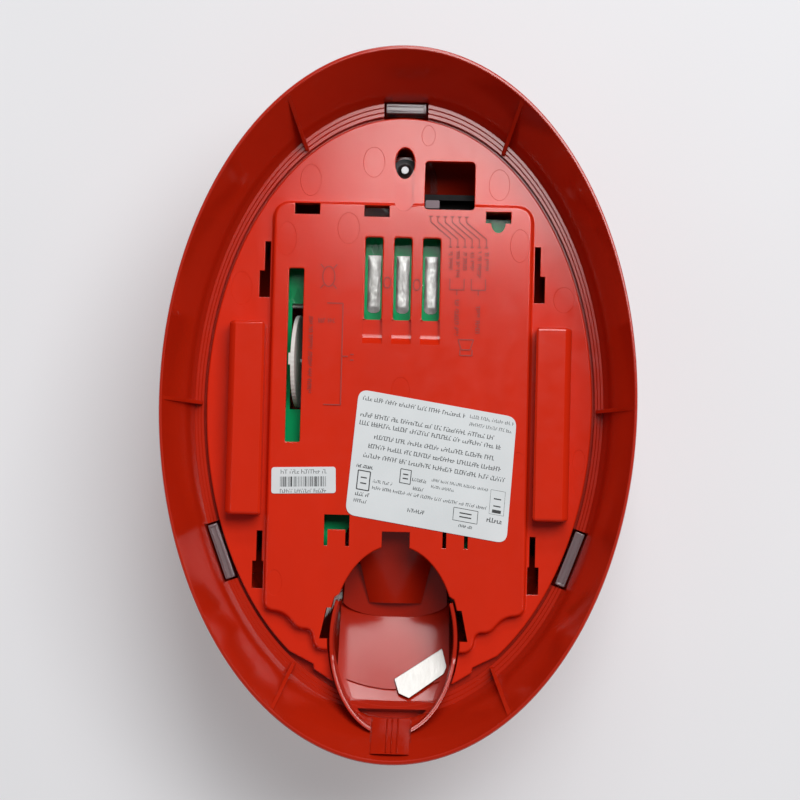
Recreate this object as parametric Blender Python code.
"""Horn strobe for a ceiling, modelled face down: +Z points to the mounting side, +Y along the long axis.

Run with: blender --background --python part.py. Every piece is one object in metres.
Lengths below are millimetres, and leave through MM.
"""

import math

import bmesh
import bpy
from mathutils import Matrix, Vector

MM = 0.001

# Driving dimensions.
WIDTH = 115.0  # across the rim, X
LENGTH = 173.2  # along the rim, Y
HEIGHT = 58.0  # lens face to rim, Z
HALF_W, HALF_L = WIDTH / 2, LENGTH / 2
RING = 64  # sides of the big ellipses
GAP = 0.3  # clearance between fixed neighbours
FIT = 0.06  # clearance where one piece lies on another

# Levels above the surface that the lens face rests on.
PLATE_TOP = 37.0
PLATE_LOW = 34.5
PLATFORM_TOP = 40.0
BLOCK_TOP = 44.0
LEDGE = 36.0
BOARD_TOP = 32.0
BOARD_LOW = 30.4
LENS_FLANGE = (16.4, 17.8)

# Outlines seen from the mounting side.
PLATE_A, PLATE_B = 47.7, 72.1
PLATFORM_X, PLATFORM_Y = 32.0, 50.3
WELL_Y = -57.3
WELL_A, WELL_B = 15.8, 23.2
WALL = 1.1
SCREW_Y = 59.5
SCREW_HEAD = 17.4
WINDOW_X = (-7.05, 0.1, 7.2)
CAPACITOR_X = 36.9
HOOK_ANGLES = (0.0, 127.5, -127.5)

# Moving pieces.
WHEEL_CENTRE = Vector((-25.5, 11.2, 29.0))
WHEEL_R = 11.6
WHEEL_LEAN = math.radians(5.5)
KNOB_X = 7.05
KNOB_Y = 51.3

# Strobe and sounder.
TUBE_Y, TUBE_Z = 2.0, 13.2
LEAD_X = 14.2
HORN_CENTRE = (0.0, -16.6)

RED = (0.60, 0.035, 0.02, 1.0)
COLOURS = {
    "red_plastic": (RED, 0.35, 0.0),
    "clear_plastic": ((0.85, 0.85, 0.87, 1.0), 0.08, 0.0),
    "board": ((0.01, 0.14, 0.05, 1.0), 0.4, 0.0),
    "tinned": ((0.72, 0.73, 0.72, 1.0), 0.3, 1.0),
    "steel": ((0.6, 0.6, 0.6, 1.0), 0.3, 1.0),
    "chrome": ((0.85, 0.85, 0.87, 1.0), 0.08, 1.0),
    "glass": ((0.9, 0.92, 0.95, 1.0), 0.03, 0.0),
    "white_plastic": ((0.75, 0.74, 0.68, 1.0), 0.4, 0.0),
    "grey_plastic": ((0.35, 0.27, 0.3, 1.0), 0.45, 0.0),
    "black_plastic": ((0.02, 0.02, 0.02, 1.0), 0.4, 0.0),
    "capacitor_sleeve": ((0.02, 0.025, 0.05, 1.0), 0.35, 0.0),
    "ferrite": ((0.05, 0.05, 0.05, 1.0), 0.6, 0.0),
    "copper": ((0.65, 0.25, 0.1, 1.0), 0.3, 1.0),
    "brass": ((0.7, 0.5, 0.2, 1.0), 0.3, 1.0),
    "ceramic": ((0.8, 0.78, 0.7, 1.0), 0.5, 0.0),
    "foam": ((0.03, 0.03, 0.03, 1.0), 0.9, 0.0),
    "label": ((0.72, 0.74, 0.75, 1.0), 0.5, 0.0),
    "aluminium": ((0.75, 0.75, 0.73, 1.0), 0.35, 1.0),
}


def clear_scene():
    for obj in list(bpy.data.objects):
        bpy.data.objects.remove(obj, do_unlink=True)


def material(name):
    """The named material, made on first use."""
    found = bpy.data.materials.get(name)
    if found:
        return found
    colour, roughness, metallic = COLOURS[name]
    made = bpy.data.materials.new(name)
    made.use_nodes = True
    shader = made.node_tree.nodes["Principled BSDF"]
    shader.inputs["Base Color"].default_value = colour
    shader.inputs["Roughness"].default_value = roughness
    shader.inputs["Metallic"].default_value = metallic
    made.diffuse_color = colour
    return made


def ellipse(a, b, centre=(0.0, 0.0), sides=RING, start=0.0, sweep=360.0):
    """Points round an ellipse, anticlockwise; an arc also gets its end point."""
    count = sides if abs(sweep) == 360.0 else sides + 1
    angles = (math.radians(start + sweep * i / sides) for i in range(count))
    return [(centre[0] + a * math.cos(t), centre[1] + b * math.sin(t)) for t in angles]


def rectangle(x0, x1, y0, y1):
    return [(x0, y0), (x1, y0), (x1, y1), (x0, y1)]


def rounded(corners, radius, steps=3):
    """A polygon with each corner cut back by radius and rounded with a curve."""
    points = []
    for i, corner in enumerate(corners):
        here = Vector(corner)
        before = Vector(corners[i - 1]) - here
        after = Vector(corners[(i + 1) % len(corners)]) - here
        reach = min(radius, before.length * 0.45, after.length * 0.45)
        first = here + before.normalized() * reach
        last = here + after.normalized() * reach
        for k in range(steps + 1):
            t = k / steps
            bend = first * (1 - t) ** 2 + here * 2 * t * (1 - t) + last * t * t
            points.append((bend.x, bend.y))
    return points


def mirrored(right_side):
    """A closed outline from its right half, listed from top to bottom."""
    return [(-x, y) for x, y in right_side] + list(reversed(right_side))


def level(height, x, y):
    return height(x, y) if callable(height) else height


def add_prism(bm, outline, low, high, place=None):
    """An outline in XY raised from low to high; either may be a function of (x, y)."""
    area = sum(x0 * y1 - x1 * y0 for (x0, y0), (x1, y1) in zip(outline, outline[1:] + outline[:1]))
    if area < 0:
        outline = outline[::-1]
    floor = [bm.verts.new((x, y, level(low, x, y))) for x, y in outline]
    roof = [bm.verts.new((x, y, level(high, x, y))) for x, y in outline]
    bm.faces.new(floor[::-1])
    bm.faces.new(roof)
    for i in range(len(outline)):
        j = (i + 1) % len(outline)
        bm.faces.new((floor[i], floor[j], roof[j], roof[i]))
    if place:
        bmesh.ops.transform(bm, matrix=place, verts=floor + roof)


def add_box(bm, x, y, z, place=None):
    add_prism(bm, rectangle(x[0], x[1], y[0], y[1]), z[0], z[1], place)


def add_turned(bm, profile, place=None, sides=24):
    """A closed profile of (radius, height) turned about Z. Points at radius 0 become poles."""
    rings = []
    for radius, height in profile:
        if radius == 0:
            rings.append([bm.verts.new((0, 0, height))])
        else:
            rings.append([bm.verts.new((x, y, height)) for x, y in ellipse(radius, radius, sides=sides)])
    join_rings(bm, rings, wrap=profile[0][0] != 0)
    if place:
        bmesh.ops.transform(bm, matrix=place, verts=[v for ring in rings for v in ring])


def join_rings(bm, rings, wrap):
    """Faces between successive rings, a ring of one vertex being a pole."""
    pairs = list(zip(rings, rings[1:] + rings[:1])) if wrap else list(zip(rings, rings[1:]))
    for low, high in pairs:
        count = max(len(low), len(high))
        if count == 1:
            continue
        for i in range(count):
            j = (i + 1) % count
            if len(low) == 1:
                bm.faces.new((low[0], high[j], high[i]))
            elif len(high) == 1:
                bm.faces.new((low[i], low[j], high[0]))
            else:
                bm.faces.new((low[i], low[j], high[j], high[i]))


def add_cylinder(bm, radius, low, high, place=None, sides=24):
    add_turned(bm, [(0, low), (radius, low), (radius, high), (0, high)], place, sides)


def at(x, y, z=0.0):
    return Matrix.Translation((x, y, z))


def along(axis, centre):
    """Turns +Z onto an axis, then moves to a centre."""
    return Matrix.Translation(centre) @ Vector(axis).to_track_quat("Z", "Y").to_matrix().to_4x4()


def make(name, bm, slot=None, origin=(0.0, 0.0, 0.0)):
    """An object from a mesh in millimetres. Without a material it is a hidden helper."""
    bmesh.ops.recalc_face_normals(bm, faces=bm.faces)
    bmesh.ops.transform(bm, matrix=Matrix.Scale(MM, 4) @ Matrix.Translation(-Vector(origin)), verts=bm.verts)
    mesh = bpy.data.meshes.new(name)
    bm.to_mesh(mesh)
    bm.free()
    obj = bpy.data.objects.new(name, mesh)
    obj.location = Vector(origin) * MM
    bpy.context.scene.collection.objects.link(obj)
    if slot:
        mesh.materials.append(material(slot))
        mesh.shade_smooth()
        mesh.set_sharp_from_angle(angle=math.radians(32))
    else:
        obj.hide_render = True
        obj.display_type = "WIRE"
    return obj


def combine(obj, operation, bm):
    """Adds or removes the shapes in bm, as one Boolean."""
    tool = make(f"{obj.name}_{operation.lower()}_{len(obj.modifiers)}", bm)
    change = obj.modifiers.new(tool.name, "BOOLEAN")
    change.operation = operation
    change.solver = "EXACT"
    change.object = tool


def cut(obj, bm):
    combine(obj, "DIFFERENCE", bm)


def fuse(obj, bm):
    combine(obj, "UNION", bm)


# The front housing's section, as (share of the rim ellipse, height).
OUTSIDE = (
    (1.0, 57.4), (0.957, 47.0), (0.914, 37.0), (0.882, 30.5), (0.838, 25.0), (0.778, 20.6),
    (0.70, 17.2), (0.60, 15.2), (0.48, 14.2), (0.335, 13.8),
)
INSIDE = (
    (0.335, 15.9), (0.48, 16.2), (0.60, 17.2), (0.69, 19.0), (0.755, 22.0), (0.79, 26.0),
    (0.805, PLATE_LOW - GAP), (0.8415, PLATE_LOW - GAP), (0.8415, LEDGE), (0.854, LEDGE),
    (0.854, LEDGE + 0.35), (0.867, LEDGE + 0.35), (0.867, LEDGE + 0.7), (0.880, LEDGE + 0.7),
    (0.987, HEIGHT), (0.996, HEIGHT),
)


def share(x, y):
    """How far out a point lies, 1 being the rim."""
    return math.hypot(x / HALF_W, y / HALF_L)


def section_height(section, where):
    """Height of a section at a share of the rim ellipse."""
    points = sorted(section)
    if where < points[0][0]:
        return points[0][1]
    for (s0, z0), (s1, z1) in zip(points, points[1:]):
        if s0 <= where <= s1 and s1 > s0:
            return z0 + (z1 - z0) * (where - s0) / (s1 - s0)
    return points[-1][1]


def front_surface(x, y):
    """Just inside the housing's outer skin, for shapes that stand on it."""
    return section_height(OUTSIDE, share(x, y)) + 0.8


def add_slab(bm, rows, low, high):
    """A solid on a grid of (x, y) points, its underside and top following low and high."""
    layers = [[[bm.verts.new((x, y, level(height, x, y))) for x, y in row] for row in rows] for height in (low, high)]
    last_row, last = len(rows) - 1, len(rows[0]) - 1
    for layer in layers:
        for i in range(last_row):
            for j in range(last):
                bm.faces.new((layer[i][j], layer[i][j + 1], layer[i + 1][j + 1], layer[i + 1][j]))
    edge = [(0, j) for j in range(last)] + [(i, last) for i in range(last_row)]
    edge += [(last_row, j) for j in range(last, 0, -1)] + [(i, 0) for i in range(last_row, 0, -1)]
    for (i, j), (k, m) in zip(edge, edge[1:] + edge[:1]):
        bm.faces.new((layers[0][i][j], layers[0][k][m], layers[1][k][m], layers[1][i][j]))


def between(first, second, count):
    """Rows of points from one row to another."""
    mix = (i / count for i in range(count + 1))
    return [[(x0 + (x1 - x0) * t, y0 + (y1 - y0) * t) for (x0, y0), (x1, y1) in zip(first, second)] for t in mix]


def wall_top(_x, y):
    """The horn mouth's wall rises towards the skirt."""
    return PLATFORM_TOP + max(0.0, (-62.0 - y) * 0.42)


def floor_height(_x, y):
    """The horn mouth's floor climbs away from the throat."""
    return 20.2 + (-51.0 - y) * 0.42


def skirt_height(y):
    """Height of the skirt's inner face on the long axis."""
    return section_height(INSIDE[-3:-1], -y / HALF_L)


def mid_skirt(_x, y):
    """Halfway through the skirt's wall on the long axis."""
    return (skirt_height(y) + section_height(OUTSIDE, -y / HALF_L)) / 2


def mouth_space():
    """Outline of the clear space over the horn mouth's floor."""
    a, b = WELL_A - WALL, WELL_B - WALL
    right = ellipse(a, b, (0, WELL_Y), 8, -27.0, 58.0)
    left = ellipse(a, b, (0, WELL_Y), 8, 149.0, 58.0)
    return right + left + [(-10.4, -71.7), (-5.3, -72.6), (-1.7, -72.9), (1.7, -72.9), (5.3, -72.6), (10.4, -71.7)]


def hook_place(angle):
    """Frame of a lens hook: its X along the rim, its Y outwards."""
    x, y = (math.copysign(43.0, -angle), -36.6) if angle else (0.0, 74.4)
    normal = math.atan2(x / PLATE_A**2, y / PLATE_B**2)
    return Matrix.Translation((x, y, 0)) @ Matrix.Rotation(-normal, 4, "Z")


def hook_half(angle):
    return 7.0 if angle else 5.0


def hook_rows(angle, half, inner, outer, count):
    """A grid in a hook's frame, between two distances from its middle."""
    place = hook_place(angle)
    rows = []
    for i in range(count + 1):
        reach = inner + (outer - inner) * i / count
        rows.append([tuple((place @ Vector((side * half, reach, 0)))[:2]) for side in (-1, 0, 1)])
    return rows


def add_gusset(bm, angle):
    """A triangular rib from the ledge's inner edge up to the rim."""
    turn = math.radians(angle)
    ray = Vector((HALF_W * math.sin(turn), HALF_L * math.cos(turn), 0))
    side = Vector((ray.y, -ray.x, 0)).normalized() * 0.5
    section = ((0.844, PLATE_LOW), (0.896, LEDGE), (0.99, 57.0), (0.985, 57.2), (0.844, PLATE_TOP + 0.6))
    left = [bm.verts.new(ray * s + Vector((0, 0, z)) + side) for s, z in section]
    right = [bm.verts.new(ray * s + Vector((0, 0, z)) - side) for s, z in section]
    bm.faces.new(left)
    bm.faces.new(right[::-1])
    for i in range(len(section)):
        j = (i + 1) % len(section)
        bm.faces.new((left[j], left[i], right[i], right[j]))


def board_posts():
    return [(sx * 25.5, y) for sx in (-1, 1) for y in (41.5, -41.0)]


def front_housing():
    """The flared red bowl with its ledge, gussets, horn mouth and bosses."""
    bm = bmesh.new()
    rings = [
        [bm.verts.new((x, y, z)) for x, y in ellipse(HALF_W * s, HALF_L * s)]
        for s, z in OUTSIDE + INSIDE
    ]
    join_rings(bm, rings, wrap=True)
    housing = make("front_housing", bm, "red_plastic")

    ribs = bmesh.new()
    for angle in (30, 90, 150, 210, 270, 330):
        add_gusset(ribs, angle)
    add_prism(ribs, ellipse(5.0, 5.0, (0, SCREW_Y), 24), front_surface, 29.0)
    for x, y in board_posts():
        add_cylinder(ribs, 2.6, front_surface(x, y), BOARD_LOW - GAP, at(x, y), 16)
    fuse(housing, ribs)

    wall = bmesh.new()
    sizes = ((WELL_A, WELL_B), (WELL_A - WALL, WELL_B - WALL))
    add_slab(wall, [ellipse(a, b, (0, WELL_Y), 40, 24.0, -228.0) for a, b in sizes], front_surface, wall_top)
    fuse(housing, wall)

    floor = bmesh.new()
    upper = ellipse(13.6, 4.4, (0, -47.6), 12, 180.0, 180.0)
    lower = ellipse(14.0, 5.2, (0, -68.6), 12, 180.0, 180.0)
    add_slab(floor, between(upper, lower, 6), front_surface, lambda x, y: floor_height(x, y) + 0.4)
    fuse(housing, floor)
    tongue = bmesh.new()
    strip = between([(-4.6, -77.0), (4.6, -77.0)], [(-4.6, -84.0), (4.6, -84.0)], 4)
    add_slab(tongue, strip, mid_skirt, lambda _x, y: skirt_height(y) + 2.0)
    fuse(housing, tongue)

    space = bmesh.new()
    add_prism(space, mouth_space(), floor_height, 60.0)
    cut(housing, space)

    holes = bmesh.new()
    add_cylinder(holes, 3.6, 10.0, SCREW_HEAD + 6.0, at(0, SCREW_Y))
    for angle in HOOK_ANGLES:
        rows = hook_rows(angle, hook_half(angle) + 0.5, -12.0 if angle else -10.9, 1.7, 6)
        add_slab(holes, rows, lambda x, y: front_surface(x, y) + 1.2, 45.0)
    for x, y in board_posts():
        add_cylinder(holes, 1.0, 23.0, 40.0, at(x, y), 12)
    add_prism(holes, ellipse(8.4, 2.2, (0, -74.4), 15, 180.0, 180.0), 33.2, 50.0)
    for y in (-37.6, -41.2, -44.8):
        add_prism(holes, rounded(rectangle(-9.0, 9.0, y - 0.9, y + 0.9), 0.8), 8.0, 19.5)
    cut(housing, holes)
    passages = bmesh.new()
    add_cylinder(passages, 2.3, SCREW_HEAD + 4.0, 35.0, at(0, SCREW_Y))
    add_box(passages, (-7.0, 7.0), (-75.3, -72.0), (32.2, 34.4))
    cut(housing, passages)


def platform_outline():
    right = [(PLATFORM_X, PLATFORM_Y), (PLATFORM_X, -50.6), (27.0, -51.2), (23.6, -55.1), (20.2, -55.2),
             (19.2, -60.1), (12.0, -60.3)]
    return rounded(mirrored(right), 4.4, 4)


def plate_outline():
    """The base plate: an ellipse whose lower end steps in to the horn mouth."""
    arc = ellipse(PLATE_A, PLATE_B, (0, 0), 64, -57.5, 295.0)
    return arc + [(-19.7, -63.8), (-19.4, -65.1), (-14.9, -67.9), (14.9, -67.9), (19.4, -65.1), (19.7, -63.8)]


def well_opening():
    """The cover's arch, wider below to clear the horn mouth's wall."""
    points = []
    for x, y in ellipse(1.0, 1.0, sides=64):
        low = y < 0.45
        a, b = (WELL_A + 0.4, WELL_B + 0.4) if low else (15.3, 23.0)
        points.append((a * x, WELL_Y + b * y))
    return points


def add_lock_slot(bm, side, narrow, wide):
    """A two-width slot that a hook of the mounting plate turns into; each part is (x0, x1, y0, y1)."""
    x0, x1, y0, y1 = narrow
    u0, u1, v0, v1 = wide
    outline = [(x0, y1), (x1, y1), (x1, y0), (u1, v1), (u1, v0), (u0, v0), (u0, v1), (x0, y0)]
    outline = [p for i, p in enumerate(outline) if p != outline[i - 1]]
    add_prism(bm, [(side * x, y) for x, y in outline], 30.0, 50.0)


def back_cover():
    """The flat cover: base plate, raised platform, two blocks over the capacitors."""
    bm = bmesh.new()
    add_prism(bm, plate_outline(), PLATE_LOW, PLATE_TOP)
    cover = make("back_cover", bm, "red_plastic")
    raised = bmesh.new()
    add_prism(raised, platform_outline(), PLATE_LOW + 0.7, PLATFORM_TOP)
    fuse(cover, raised)
    blocks = bmesh.new()
    for side in (-1, 1):
        section = [(33.4, 35.3), (42.1, 35.3), (42.1, 42.3), (41.5, 43.5), (40.3, BLOCK_TOP), (33.4, BLOCK_TOP)]
        turn = Matrix(((side, 0, 0, 0), (0, 0, 1, 0), (0, 1, 0, 0), (0, 0, 0, 1)))
        add_prism(blocks, section, -27.5, 20.2, turn)
    fuse(cover, blocks)

    hollow = bmesh.new()
    add_box(hollow, (-30.2, 30.2), (-48.0, 48.2), (33.0, PLATFORM_TOP - 2.0))
    for side in (-1, 1):
        add_box(hollow, sorted((side * 35.0, side * 40.5)), (-25.9, 18.6), (33.0, BLOCK_TOP - 1.8))
    cut(cover, hollow)

    arch = bmesh.new()
    add_prism(arch, well_opening(), 30.0, 50.0)
    cut(cover, arch)

    holes = bmesh.new()
    for x in WINDOW_X:
        add_prism(holes, rounded(rectangle(x - 2.15, x + 2.15, 21.4, 41.8), 0.6, 2), 30.0, 50.0)
    add_prism(holes, rounded(rectangle(-27.95, -24.25, -9.3, 33.7), 0.5, 2), 30.0, 50.0)
    for x, y in ((-23.8, 48.6), (-6.6, 48.3), (23.5, 47.3)):
        add_box(holes, (x - 3.1, x + 3.1), (y - 1.4, y + 1.4), (30.0, 50.0))
    add_prism(holes, rounded(rectangle(5.1, 17.5, 49.2, 61.4), 1.0, 2), 30.0, 50.0)
    add_box(holes, (-3.4, 3.4), (-40.0, -30.9), (30.0, 50.0))
    add_prism(holes, ellipse(2.4, 3.85, (0, 60.8), 24), 30.0, 50.0)
    for side in (-1, 1):
        add_lock_slot(holes, side, (32.8, 34.2, 33.2, 40.5), (32.8, 35.4, 26.6, 33.2))
        add_lock_slot(holes, side, (33.0, 34.4, -38.8, -31.3), (32.6, 35.3, -45.5, -38.8))
        tab = [(11.5, -27.0), (17.7, -27.0), (17.7, -34.6), (16.8, -34.6), (16.8, -30.6),
               (12.4, -30.6), (12.4, -34.6), (11.5, -34.6)]
        add_prism(holes, [(side * x, y) for x, y in tab], 30.0, 50.0)
    cut(cover, holes)

    recesses = bmesh.new()
    channel = ellipse(2.3, 2.3, (0, 50.8), 12, 180.0, 180.0) + [(2.3, 61.0), (-2.3, 61.0)]
    add_prism(recesses, channel, PLATE_TOP - 0.8, 50.0)
    for x in WINDOW_X:
        add_prism(recesses, rectangle(x - 2.4, x + 2.4, 15.7, 21.5),
                  lambda _x, y: PLATFORM_TOP - 0.2 - (y - 15.7) * 0.18, 50.0)
    add_prism(recesses, ellipse(1.8, 2.5, (23.5, 46.0), 12, 180.0, 180.0), 30.0, 50.0)
    for side in (-1, 1):
        notch = [(15.4, -49.8), (16.6, -49.8), (18.2, -57.4), (15.4, -57.4)]
        add_prism(recesses, [(side * x, y) for x, y in notch], 30.0, 50.0)
    cut(cover, recesses)


def elliptical(name, slot, section, sides=40):
    """A piece turned round the rim's ellipse from a closed section of (share, height)."""
    bm = bmesh.new()
    rings = []
    for s, z in section:
        if s == 0:
            rings.append([bm.verts.new((0, 0, z))])
        else:
            rings.append([bm.verts.new((x, y, z)) for x, y in ellipse(HALF_W * s, HALF_L * s, sides=sides)])
    join_rings(bm, rings, wrap=True)
    return make(name, bm, slot)


def arm_low(x, y):
    """Underside of a lens arm: just clear of the housing, then of the hook's pocket."""
    where = share(x, y)
    if where < 0.73:
        return max(LENS_FLANGE[0], section_height(INSIDE, where) + 0.45)
    return front_surface(x, y) + 1.7


def lens():
    """The clear lens: a flat-faced dome, its flange and three arms that end in hooks."""
    low, high = LENS_FLANGE
    dome = (
        (0.328, low), (0.322, 8.0), (0.295, 3.0), (0.24, 0.6), (0.18, 0.0), (0.0, 0.0),
        (0.0, 1.8), (0.18, 1.8), (0.23, 2.4), (0.275, 4.4), (0.300, 8.8), (0.306, high),
        (0.375, high), (0.375, low),
    )
    piece = elliptical("lens", "clear_plastic", dome)
    arms = bmesh.new()
    for angle, start in zip(HOOK_ANGLES, (-44.0, -36.0, -36.0)):
        arm = hook_rows(angle, 2.4, start, 0.5, 14)
        if angle:
            add_slab(arms, arm, arm_low, lambda x, y: arm_low(x, y) + 1.3)
    add_split_arm(arms)
    fuse(piece, arms)
    hooks = bmesh.new()
    for angle in HOOK_ANGLES:
        rows = hook_rows(angle, hook_half(angle), -1.2, 1.2, 1)
        add_slab(hooks, rows, lambda x, y: arm_low(x, y) + 0.05, LEDGE + 1.6)
    fuse(piece, hooks)


def add_split_arm(bm):
    """The top arm divides round the screw's boss."""
    for side in (-1, 1):
        path = [(1.5, 30.5), (1.6, 42.0), (3.6, 50.0), (6.9, 54.5),
                (7.0, 59.5), (5.4, 63.2), (3.6, 67.0), (3.4, 70.0), (3.4, 74.6)]
        rows = []
        for i, (x, y) in enumerate(path):
            before, after = path[max(i - 1, 0)], path[min(i + 1, len(path) - 1)]
            run = Vector((after[0] - before[0], after[1] - before[1])).normalized() * 0.9
            rows.append([(side * (x + run.y), y - run.x), (side * (x - run.y), y + run.x)])
        add_slab(bm, rows, arm_low, lambda x, y: arm_low(x, y) + 1.3)


def turned(name, slot, profile, place=None, sides=24):
    bm = bmesh.new()
    add_turned(bm, profile, place, sides)
    return make(name, bm, slot)


def cylinder(name, slot, radius, low, high, place=None, sides=24):
    return turned(name, slot, [(0, low), (radius, low), (radius, high), (0, high)], place, sides)


def block(name, slot, x, y, z, edge=0.4):
    """A box with its upright edges rounded."""
    bm = bmesh.new()
    add_prism(bm, rounded(rectangle(x[0], x[1], y[0], y[1]), edge, 2), z[0], z[1])
    return make(name, bm, slot)


def wire(name, slot, points, radius):
    """A round wire through the given points, with filled ends."""
    curve = bpy.data.curves.new(name, "CURVE")
    curve.dimensions = "3D"
    curve.bevel_depth = radius * MM
    curve.bevel_resolution = 2
    curve.use_fill_caps = True
    spline = curve.splines.new("POLY")
    spline.points.add(len(points) - 1)
    for point, place in zip(spline.points, points):
        point.co = (*(value * MM for value in place), 1.0)
    curve.materials.append(material(slot))
    obj = bpy.data.objects.new(name, curve)
    bpy.context.scene.collection.objects.link(obj)
    return obj


def strobe():
    """Gasket, reflector, flash tube and its leads, all behind the lens."""
    elliptical("lens_gasket", "foam", ((0.345, 16.05), (0.345, 16.3), (0.371, 16.3), (0.371, 16.05))[::-1])
    low = LENS_FLANGE[1] + FIT
    dish = (
        (0.0, 21.6), (0.10, 21.4), (0.19, 20.6), (0.26, 19.4), (0.285, low), (0.35, low),
        (0.35, low + 0.8), (0.295, low + 0.8), (0.27, 20.2), (0.20, 21.4), (0.11, 22.2), (0.0, 22.4),
    )
    reflector = elliptical("reflector", "chrome", dish)
    holes = bmesh.new()
    for x in (-LEAD_X, LEAD_X):
        add_cylinder(holes, 1.3, 15.0, 25.0, at(x, TUBE_Y), 12)
    add_cylinder(holes, 1.1, 15.0, 25.0, at(0, TUBE_Y), 12)
    cut(reflector, holes)
    cylinder("flash_tube", "glass", 2.0, -11.0, 11.0, along((1, 0, 0), (0, TUBE_Y, TUBE_Z)), 16)
    for side, end in ((-1, "left"), (1, "right")):
        cap = cylinder(f"flash_electrode_{end}", "steel", 2.1, 11.1, 12.9,
                       along((side, 0, 0), (0, TUBE_Y, TUBE_Z)), 16)
        lead = bmesh.new()
        add_box(lead, sorted((side * 12.4, side * (LEAD_X + 0.4))), (TUBE_Y - 0.4, TUBE_Y + 0.4),
                (TUBE_Z - 0.4, TUBE_Z + 0.4))
        fuse(cap, lead)
        post = bmesh.new()
        add_box(post, sorted((side * (LEAD_X - 0.4), side * (LEAD_X + 0.37))), (TUBE_Y - 0.37, TUBE_Y + 0.37),
                (TUBE_Z - 0.37, BOARD_LOW - 0.2))
        fuse(cap, post)
    wire("trigger_lead", "white_plastic", [(0, TUBE_Y, TUBE_Z + 2.3), (0, TUBE_Y, BOARD_LOW - 0.3)], 0.5)


def board_outline():
    right = [(30.5, 47.8), (30.5, -50.0), (19.0, -50.0), (17.6, -40.0), (12.6, -31.4), (11.6, -29.4), (3.0, -29.4)]
    return rounded(mirrored(right), 1.2, 2)


def main_board():
    bm = bmesh.new()
    add_prism(bm, board_outline(), BOARD_LOW, BOARD_TOP)
    board = make("main_board", bm, "board")
    holes = bmesh.new()
    for x, y in board_posts():
        add_cylinder(holes, 1.5, 25.0, 40.0, at(x, y), 12)
    add_box(holes, (-27.35, -24.6), (-0.9, 25.6), (25.0, 40.0))
    add_box(holes, (2.6, 20.2), (44.6, 49.0), (25.0, 40.0))
    cut(board, holes)
    for i, x in enumerate(WINDOW_X):
        block(f"contact_pad_{i + 1}", "tinned", (x - 1.72, x + 1.72), (23.6, 38.2),
              (BOARD_TOP + FIT, BOARD_TOP + FIT + 0.25), 0.3)
    for i, (x, y) in enumerate(board_posts()):
        screw = turned(f"board_screw_{i + 1}", "steel",
                       [(0, 24.5), (0.9, 24.5), (0.9, BOARD_TOP + FIT), (2.2, BOARD_TOP + FIT),
                        (2.2, BOARD_TOP + 0.9), (1.5, BOARD_TOP + 1.5), (0, BOARD_TOP + 1.6)], at(x, y), 16)
        slot = bmesh.new()
        add_box(slot, (-1.3, 1.3), (-0.25, 0.25), (BOARD_TOP + 1.0, BOARD_TOP + 3.0), at(x, y))
        cut(screw, slot)


def electronics():
    """The larger components, all hanging under the board."""
    top = BOARD_LOW - FIT
    for side, end in ((-1, "left"), (1, "right")):
        turned(f"flash_capacitor_{end}", "capacitor_sleeve",
               [(0, -22.0), (4.5, -22.0), (5.0, -21.4), (5.0, 14.0), (4.75, 14.6), (5.0, 15.2), (4.6, 16.0), (0, 16.0)],
               along((0, 1, 0), (side * CAPACITOR_X, 0, 28.9)), 24)
    block("flyback_transformer", "ferrite", (8.0, 20.0), (10.0, 24.0), (22.9, top))
    cylinder("trigger_coil", "ferrite", 3.6, -6.0, 6.0, along((0, 1, 0), (-14.0, 26.0, 26.6)), 16)
    block("controller_chip", "black_plastic", (-12.0, -4.0), (-1.0, 7.0), (28.6, top))
    block("bridge_rectifier", "black_plastic", (-6.0, 2.0), (38.0, 44.0), (27.6, top))
    cylinder("filter_capacitor", "capacitor_sleeve", 3.1, 24.0, top, at(22.0, 33.0), 20)
    cylinder("storage_inductor", "copper", 4.0, 24.6, top, at(22.5, -12.0), 20)
    block("varistor", "ceramic", (-22.0, -16.5), (34.0, 40.0), (25.0, top), 1.0)


def horn():
    """Piezo sounder, its cup and the tapering throat that feeds the horn mouth."""
    x, y = HORN_CENTRE
    bm = bmesh.new()
    cup = [(0, 22.9), (14.0, 22.9), (14.0, 29.9), (12.7, 29.9), (12.7, 27.6), (11.4, 27.6), (11.4, 24.0), (0, 24.0)]
    add_turned(bm, cup, at(x, y), 32)
    throat = make("horn_throat", bm, "red_plastic")
    apron = bmesh.new()
    near = ellipse(13.3, 4.4, (0, -47.1), 12, 195.0, 150.0)
    far = [(-12.4 + 24.8 * i / 12, -39.0) for i in range(13)]
    add_slab(apron, between(far, near, 4), apron_low, lambda _x, y: 24.6 + (y + 39.0) * 0.30)
    fuse(throat, apron)
    tongue = bmesh.new()
    rows = []
    for i in range(9):
        run = i / 8
        half = 11.0 - 4.5 * run
        rows.append([(half * (j / 4 - 1), -30.0 - 18.6 * run) for j in range(9)])
    add_slab(tongue, rows, lambda x, y: 22.9 if y > -34.0 else apron_low(x, y), tongue_top)
    fuse(throat, tongue)
    duct = bmesh.new()
    add_box(duct, (-4.6, 4.6), (-46.0, -24.0), (14.0, 23.9))
    cut(throat, duct)
    seat = 27.6 + FIT
    cylinder("piezo_disc", "brass", 12.5, seat, seat + 0.3, at(x, y), 32)
    cylinder("piezo_ceramic", "ceramic", 9.0, seat + 0.36, seat + 0.6, at(x, y), 32)
    turned("sounder_ring", "foam", [(12.5, seat + 0.36), (12.5, 29.9), (10.6, 29.9), (10.6, seat + 0.36)], at(x, y), 32)


def apron_low(x, y):
    """Underside of the throat, clear of the housing and its louvres."""
    return max(17.6, section_height(INSIDE, share(x, y)) + 0.5)


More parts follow.
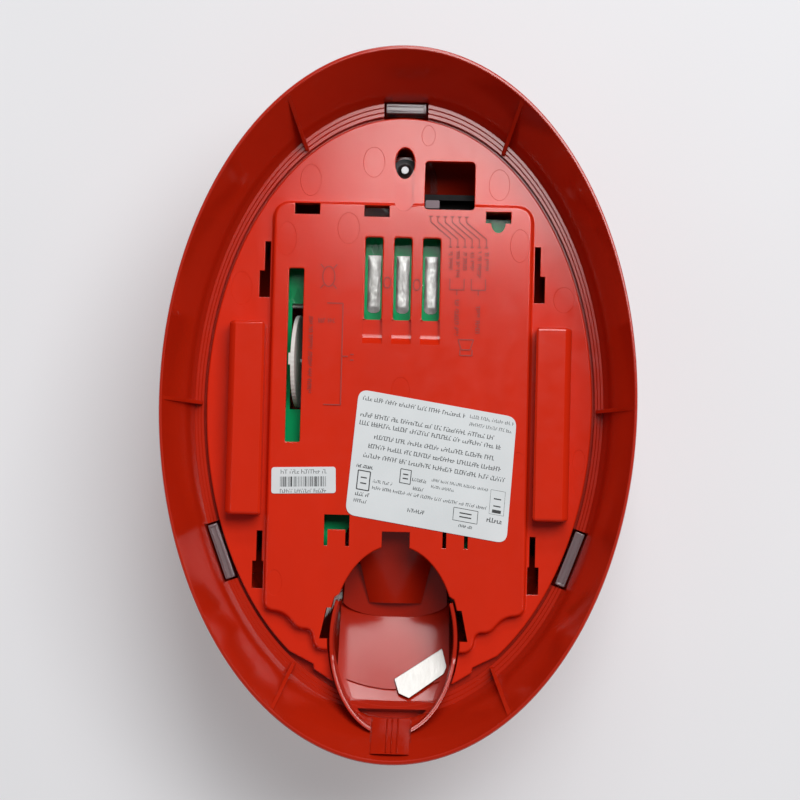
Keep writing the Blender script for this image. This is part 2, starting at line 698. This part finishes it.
def tongue_top(x, y):
    """The throat falls towards the mouth and is rounded across."""
    run = (-30.0 - y) / 18.6
    half = 11.0 - 4.5 * run
    return 32.6 - 8.4 * run - 2.0 * (x / half) ** 2


def candela_selector():
    """The thumbwheel that sets the light output, its axle, bracket and detent spring."""
    x, y, _z = WHEEL_CENTRE
    tilt = Matrix.Translation(WHEEL_CENTRE) @ Matrix.Rotation(math.radians(90) - WHEEL_LEAN, 4, "Y")
    disc = [(1.06, -0.55), (1.06, 0.55), (10.2, 0.4), (10.8, 0.55), (WHEEL_R, 0.5), (WHEEL_R, -0.5),
            (10.8, -0.55), (10.2, -0.4)]
    bm = bmesh.new()
    add_turned(bm, disc, tilt, 48)
    wheel = make("candela_wheel", bm, "white_plastic", WHEEL_CENTRE)
    tab = bmesh.new()
    add_box(tab, (-WHEEL_R + 0.15, -WHEEL_R + 2.0), (-1.5, 1.5), (-0.95, 0.3), tilt)
    fuse(wheel, tab)
    axle = bmesh.new()
    add_cylinder(axle, 1.0, -3.5, 3.5, tilt, 20)
    make("candela_axle", axle, "steel", WHEEL_CENTRE)
    frame = bmesh.new()
    add_box(frame, (x - 3.1, x + 3.1), (y - 14.1, y + 15.0), (26.0, BOARD_LOW - FIT))
    bracket = make("candela_bracket", frame, "white_plastic")
    room = bmesh.new()
    add_box(room, (x - 2.1, x + 2.1), (y - 12.8, y + 13.6), (25.0, 31.0))
    cut(bracket, room)
    bearings = bmesh.new()
    add_cylinder(bearings, 1.1, -5.0, 5.0, tilt, 20)
    cut(bracket, bearings)
    block("detent_spring", "steel", (x - 1.5, x + 1.5), (y - 12.35, y - 12.1), (24.6, BOARD_LOW - 0.2), 0.05)


def horn_selector():
    """The six-position slide switch behind the square opening, and its knob."""
    body = block("horn_selector_body", "black_plastic", (3.2, 19.6), (41.5, 54.0), (23.5, BOARD_LOW - FIT))
    slot = bmesh.new()
    add_box(slot, (5.0, 17.95), (KNOB_Y - 1.3, KNOB_Y + 1.3), (25.0, 35.0))
    cut(body, slot)
    bm = bmesh.new()
    add_prism(bm, rounded(rectangle(KNOB_X - 1.75, KNOB_X + 1.75, KNOB_Y - 1.0, KNOB_Y + 1.0), 0.3, 2), 25.3, 32.2)
    make("horn_selector_knob", bm, "grey_plastic", (KNOB_X, KNOB_Y, 28.0))


def mounting_screw():
    """The captive screw on the long axis and the washer that keeps it in its boss."""
    origin = (0.0, SCREW_Y, 29.8)
    bm = bmesh.new()
    head = SCREW_HEAD
    profile = [(0, head), (3.2, head), (3.2, head + 1.4), (2.6, head + 2.2), (1.9, head + 2.2), (1.9, 29.3),
               (1.5, 29.4), (1.5, 30.2), (1.9, 30.3), (1.9, 32.6), (1.0, 33.6), (0, 33.8)]
    add_turned(bm, profile, at(0, SCREW_Y), 24)
    screw = make("mounting_screw", bm, "steel", origin)
    cross = bmesh.new()
    add_box(cross, (-2.0, 2.0), (-0.35, 0.35), (head - 1.0, head + 1.0), at(0, SCREW_Y))
    cut(screw, cross)
    washer = bmesh.new()
    add_turned(washer, [(1.62, 29.5), (1.62, 30.1), (3.3, 30.1), (3.3, 29.5)], at(0, SCREW_Y))
    make("screw_retainer", washer, "steel", origin)


def plate_piece(name, slot, corners, radius, low, thickness):
    """A thin sheet piece; low is a height or a function of (x, y)."""
    bm = bmesh.new()
    add_prism(bm, rounded(corners, radius, 3) if radius else corners,
              lambda x, y: level(low, x, y), lambda x, y: level(low, x, y) + thickness)
    return make(name, bm, slot)


def labels():
    """Two stickers on the platform and the metal tag that lies in the horn mouth."""
    plate_piece("rating_label", "label", [(-12.6, -26.8), (27.2, -33.1), (29.1, -2.0), (-9.95, 4.1)], 2.6,
                PLATFORM_TOP + 0.05, 0.15)
    plate_piece("serial_label", "label", [(-30.9, -22.2), (-15.0, -21.7), (-15.2, -15.2), (-31.0, -15.7)], 0.8,
                PLATFORM_TOP + 0.05, 0.15)
    tag = [(0.3, -67.4), (1.5, -70.9), (4.1, -72.0), (12.6, -65.9), (13.3, -64.1), (12.1, -59.6)]
    plate_piece("metal_tag", "aluminium", tag, 0, lambda x, y: floor_height(x, y) + 0.5, 0.4)


def build():
    clear_scene()
    front_housing()
    back_cover()
    lens()
    strobe()
    main_board()
    electronics()
    horn()
    candela_selector()
    horn_selector()
    mounting_screw()
    labels()


build()
